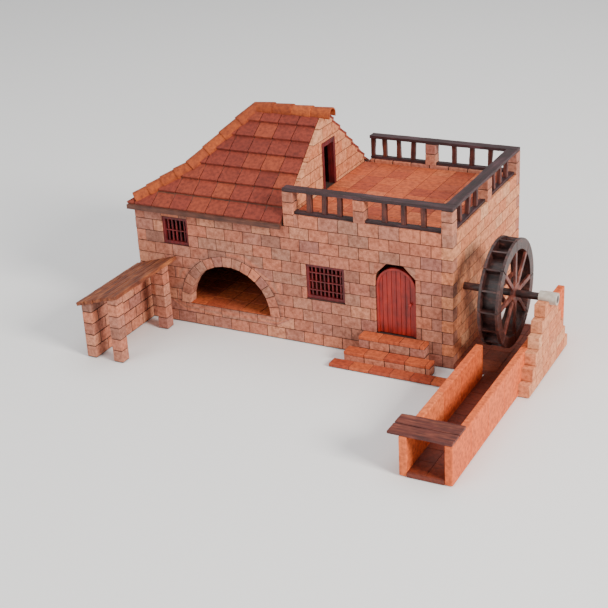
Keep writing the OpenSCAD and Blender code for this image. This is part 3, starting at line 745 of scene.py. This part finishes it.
for k in range(BOARDS):
    a = LEAF_X0 + 1 + (BOARDS_W * k + BOARD_GAP) / BOARDS
    b = LEAF_X0 + 1 + (BOARDS_W * (k + 1) - BOARD_GAP) / BOARDS
    xs = [b + (a - b) * i / 4 for i in range(5)]
    outline = [(a, LEAF_Z + 0.2), (b, LEAF_Z + 0.2)] + [(x, head_z(x)) for x in xs]
    y = LEAF_Y + 0.7 + draw.uniform(0, 0.15)
    shape(bm, [[(u, y, v) for u, v in outline], [(u, LEAF_Y + 2.9, v) for u, v in outline]], draw.random())
back = [(LEAF_X0 + 0.6, LEAF_Z + 0.3), (LEAF_X1 - 0.6, LEAF_Z + 0.3)]
back += round_outline(LEAF_MID, LEAF_SPRING, LEAF_R - 0.6, 24, math.pi)
shape(bm, [[(u, LEAF_Y + 1.3, v) for u, v in back], [(u, LEAF_Y + 2.3, v) for u, v in back]], 0.1)
arc = [math.pi * t / 28 for t in range(29)]
RIM_IN = 12.7
rings = []
for c, s, low in [(1, 0, LEAF_Z), *((math.cos(t), math.sin(t), None) for t in arc), (-1, 0, LEAF_Z)]:
    rings.append([(LEAF_MID + r * c, LEAF_Y + y, LEAF_SPRING + r * s if low is None else low)
                  for r, y in ((RIM_IN, 0), (LEAF_R, 0), (LEAF_R, 2.9), (RIM_IN, 2.9))])
shape(bm, rings, 0.5)
leaf = keep(bm, "door_boards", door_wood, "door", 0.2)
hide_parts("door_leaf")
bm = bmesh.new()
KNOB_X, KNOB_Z, KNOB_STEPS = LEAF_X1 - 4, 42, 12
knob = []
for y, r in ((0.9, 0.7), (0.2, 0.6), (-0.3, 1.1), (-0.9, 1.3), (-1.4, 1.0), (-1.6, 0.4)):
    knob.append([(u, LEAF_Y + y, v) for u, v in round_outline(KNOB_X, KNOB_Z, r, KNOB_STEPS)])
shape(bm, knob, 0.8)
keep(bm, "door_knob", door_wood, "door", 0)

# ---- Lean-to -------------------------------------------------------------------------------------
# A brick side wall and two brick pillars carry five rough planks laid lengthwise, sloping down to the
# left. The two small triangular air holes in the real wall are left out.

draw = random.Random(81)
LEAN_D, LEAN_W, LEAN_LOW, LEAN_RISE = 75.0, 30.0, 43, 9


def lean_z(x):
    """The height of the planks' tops over a place."""
    return LEAN_LOW + LEAN_RISE * x / LEAN_W


under_planks = [(at(0, 0, lean_z(0) - 2.9), (-LEAN_RISE / LEAN_W, 0, 1))]
low_wall = [block(-PROUD, WALL + PROUD, a - (END if a == -LEAN_D else 0), b, c * COURSE, (c + 1) * COURSE)
            for c in range(6) for a, b in columns_of(-LEAN_D, -PROUD, -LEAN_D + (BRICK / 2 if c % 2 else 0))]
lay("leanto_wall_bricks", low_wall, pink_brick, 82, ALONG_Y, cuts=under_planks)
pillars = [block(LEAN_W - WALL - PROUD, LEAN_W + PROUD, y - PROUD, y + WALL + PROUD, c * COURSE,
                 (c + 1) * COURSE)
           for y in (-LEAN_D, -16.5) for c in range(6)]
lay("leanto_pillar_bricks", pillars, pink_brick, 83, (0, 0, 0.35), cuts=under_planks)
plank_wood = timber("plank_wood", [(72, 34, 28), (134, 78, 52), (182, 122, 84)], (1, 0.1, 1), 0.75)
bm = bmesh.new()
edges = [-3, 4.4, 11.6, 18.9, 26.0, 33]
for a, b in zip(edges, edges[1:]):
    mid = (a + b) / 2
    z = lean_z(mid) - 1.5
    flat = Vector((-LEAN_RISE, 0, LEAN_W)).normalized()
    near = -77.9 + draw.uniform(0.1, 1.2)
    plank(bm, (mid, near, z), (mid, -0.3, z), (b - a) * 1.03 - 0.5, 2.6, draw, 0.55, flat=flat)
roof = keep(bm, "leanto_planks", plank_wood, round_off=0.3)
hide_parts("leanto_roof")

# ---- Water race ----------------------------------------------------------------------------------
# Clay slabs on edge wall a straight channel that runs past the house to the wheel, paved inside with
# tiles. Two planks lie across its open end as a footbridge.

slab_clay = clay("slab_clay", [(226, 118, 72), (236, 132, 84), (218, 108, 66), (242, 144, 96)], 0.15, 0.78)
RACE_LEFT, RACE_RIGHT, SLAB, SLAB_L, RACE_H = 266.5, 295.0, 5.0, 30, 26.25
RACE_MOUTH, RACE_LEFT_END, RISE_Y, RACE_END, RISE_H = -137, -8.0, AXLE_Y + 23, 79.0, 37.0
slabs = [block(x, x + SLAB, a, b, 0, high)
         for x, near, far, high in ((RACE_LEFT, RACE_MOUTH, RACE_LEFT_END, RACE_H),
                                    (RACE_RIGHT, RACE_MOUTH, RISE_Y, RACE_H),
                                    (RACE_RIGHT, RISE_Y, RACE_END, RISE_H))
         for a, b in columns_of(near, far, near, SLAB_L)]
race = lay("race_slabs", slabs, slab_clay, 91, (0, 0.25, 0), 0, 0.5)
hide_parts("race_left_wall", "race_right_wall")
# The race bed's tiles are a much darker copy of the terracotta: painted shade for the floor inside the
# channel.
race_bed_shaded_clay = clay("race_bed_terracotta_painted_shade", [(120, 58, 38), (140, 70, 46), (104, 48, 32), (150, 80, 54)], 0.4, 0.6)
RACE_BED, BED_RIGHT = 3, RACE_RIGHT - 0.3
bed = paving(271.9, BED_RIGHT, RACE_MOUTH + 0.2, -0.2, RACE_BED, 11.4)
bed += paving(247.9, BED_RIGHT, 0.2, RACE_END - 0.2, RACE_BED)
lay("race_tiles", bed, race_bed_shaded_clay, 92, (0.4, 0.4, 0), 0.003, 0.2)
refinish(race_bed_shaded_clay, "race_floor")
bridge_wood = timber("bridge_wood", [(58, 26, 26), (100, 52, 44), (146, 92, 76)], (0.1, 1, 1), 0.65)
draw = random.Random(93)
bm = bmesh.new()
for y in (-131.4, -119.8):
    plank(bm, (259.2, y, RACE_H + 1.05), (299.8, y, RACE_H + 1.05), 10.8, 1.8, draw, 0.5)
bridge = keep(bm, "footbridge", bridge_wood, round_off=0.3)
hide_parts("footbridge_planks")

# ---- Bearing wall --------------------------------------------------------------------------------
# Six courses of brick beside the race step back evenly at both ends. A short pale sleeve on top holds
# the outer end of the wheel's axle.

SLEEVE_R, STACK_X, STACK_HALF, STEP_BACK = 4.2, RACE_RIGHT + SLAB, 42, 6
stack = []
for c in range(6):
    half = STACK_HALF - STEP_BACK * c
    for a, b in columns_of(AXLE_Y - half, AXLE_Y + half, AXLE_Y - half + (BRICK / 2 if c % 2 else 0)):
        stack.append(block(STACK_X, STACK_X + WALL, a, b, c * COURSE, (c + 1) * COURSE))
groove = solid("groove_cutter", round_outline(AXLE_Y, AXLE_Z, SLEEVE_R, 32), "x", 298, 310)
# Painted sunlight: the bearing wall takes the lighter, warmer copy of the brick colour.
bearing = lay("bearing_bricks", stack, painted_sunlit_brick, 95, (0, 0.5, 0.4), 0.003, 0.5,
              cutters=[groove])
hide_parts("bearing_wall")
pale = Paint("pale_sleeve")
pale = pale.finish(pale.ramp(pale.noise(300), (0.3, srgb(170, 158, 146)), (0.7, srgb(214, 206, 196))), 0.7,
                   pale.noise(900))
refinish(pale, "axle_sleeve")

# ---- Water wheel ---------------------------------------------------------------------------------
# Dark-stained wood: two rims of curved felloes, a drum with radial bucket boards between them, eight
# spokes and a hub to a side and a round axle. The stain is worn pinkish in places.

wheel_wood = timber("wheel_wood", [(30, 18, 18), (58, 34, 32), (104, 66, 58)], (0.4, 1, 1), 0.5, 0.15)
rim_low, rim_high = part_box("wheel_outer_rim")
WHEEL_X0 = (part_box("wheel_inner_rim")[0].x - corner.x) * 1000
WHEEL_X1, WHEEL_R, RIM_D = (rim_high.x - corner.x) * 1000, (rim_high.z - rim_low.z) * 500, 7.5
RIM_T, SPOKES, SPOKE_FOOT, HUB_R = 2, 8, 5, 7
draw = random.Random(97)


def around(radius, angle):
    """A place in the wheel's plane, from the axle."""
    return AXLE_Y + radius * math.cos(angle), AXLE_Z + radius * math.sin(angle)


bm = bmesh.new()
FELLOES = 8
for x0, x1 in ((WHEEL_X0, WHEEL_X0 + RIM_T), (WHEEL_X1 - RIM_T, WHEEL_X1)):
    for k in range(FELLOES):
        rings = []
        for t in (math.tau * (k + 0.008 + 0.984 * i / 8) / FELLOES for i in range(9)):
            near, far = around(WHEEL_R - RIM_D, t), around(WHEEL_R - 0.1, t)
            rings.append([(x0, *near), (x0, *far), (x1, *far), (x1, *near)])
        shape(bm, rings, draw.random())
rims = keep(bm, "wheel_felloes", wheel_wood, "wheel", 0.25)
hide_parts("wheel_inner_rim", "wheel_outer_rim")
bm = bmesh.new()
for x in (WHEEL_X0 + RIM_T / 2, WHEEL_X1 - RIM_T / 2):
    for k in range(SPOKES):
        t = math.tau * k / SPOKES
        plank(bm, (x, *around(SPOKE_FOOT, t)), (x, *around(WHEEL_R - RIM_D + 0.2, t)), 3.1, 1.8, draw, 0.2,
              flat=(1, 0, 0))
    hub = round_outline(AXLE_Y, AXLE_Z, HUB_R, 24)
    shape(bm, [[(x + w, *place) for place in hub] for w in (-1.2, 1.2)], 0.6)
spoke_wood = timber("spoke_wood", [(52, 26, 24), (104, 58, 50), (150, 98, 84)], (1, 0.5, 0.5), 0.5, 0.1)
spokes = keep(bm, "wheel_spokes", spoke_wood, "wheel", 0.25)
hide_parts("wheel_inner_spokes", "wheel_outer_spokes")
refinish(wheel_wood, "wheel_buckets", "axle")

# ---- Stage, light and camera ---------------------------------------------------------------------
# The model stands on a wide sheet of pale matt paper. A warm lamp lights it from the right, a soft one
# from the front left and another from above. The camera looks down on the front and the wheel.

FLOOR_HALF, FLOOR_Z = 6, -0.0005
floor_mesh = bpy.data.meshes.new("studio_floor")
corners = [(x * FLOOR_HALF, y * FLOOR_HALF, FLOOR_Z) for x, y in ((-1, -1), (1, -1), (1, 1), (-1, 1))]
floor_mesh.from_pydata(corners, [], [(0, 1, 2, 3)])
floor = shown("studio_floor", floor_mesh)
paper = Paint("studio_paper")
floor_mesh.materials.append(paper.finish((0.86, 0.86, 0.86, 1), 0.9, paper.noise(3), 0.00001))


def lamp(name, place, aim, size, power, colour=(1, 1, 1)):
    """A square lamp that shines from a place at another, in metres and watts."""
    light = bpy.data.lights.new(name, "AREA")
    light.size, light.energy, light.color = size, power, colour
    obj = shown(name, light)
    obj.location = place
    obj.rotation_mode = "QUATERNION"
    obj.rotation_quaternion = (Vector(aim) - Vector(place)).to_track_quat("-Z", "Y")


lamp("key", (1.5, -0.45, 0.85), (0, 0, 0.05), 0.5, 42, (1, 0.95, 0.88))
lamp("fill", (-0.7, -1.5, 0.9), (0, 0, 0.05), 1.2, 12)
lamp("top", (0, 0.3, 1.6), (0, 0, 0), 1.4, 12)
world = bpy.data.worlds.new("studio")
world.use_nodes = True
sky = world.node_tree.nodes["Background"]
sky.inputs["Color"].default_value = (1, 1, 1, 1)
sky.inputs["Strength"].default_value = 0.6
bpy.context.scene.world = world

YAW, TILT, ROLL = (math.radians(a) for a in (28.39, 24.43, 3.25))
right = Vector((math.cos(YAW), math.sin(YAW), 0))
look = Vector((-math.sin(YAW) * math.cos(TILT), math.cos(YAW) * math.cos(TILT), -math.sin(TILT)))
down = look.cross(right)
cam_x = math.cos(ROLL) * right + math.sin(ROLL) * down
cam_down = -math.sin(ROLL) * right + math.cos(ROLL) * down
camera = bpy.data.cameras.new("camera")
camera.sensor_width, camera.lens = 36, 76.7155
camera.clip_start, camera.clip_end = 0.01, 20
eye = shown("camera", camera)
eye.matrix_world = Matrix((cam_x, -cam_down, -look)).transposed().to_4x4()
eye.location = at(530.31, -729.49, 406.96)
bpy.context.scene.camera = eye
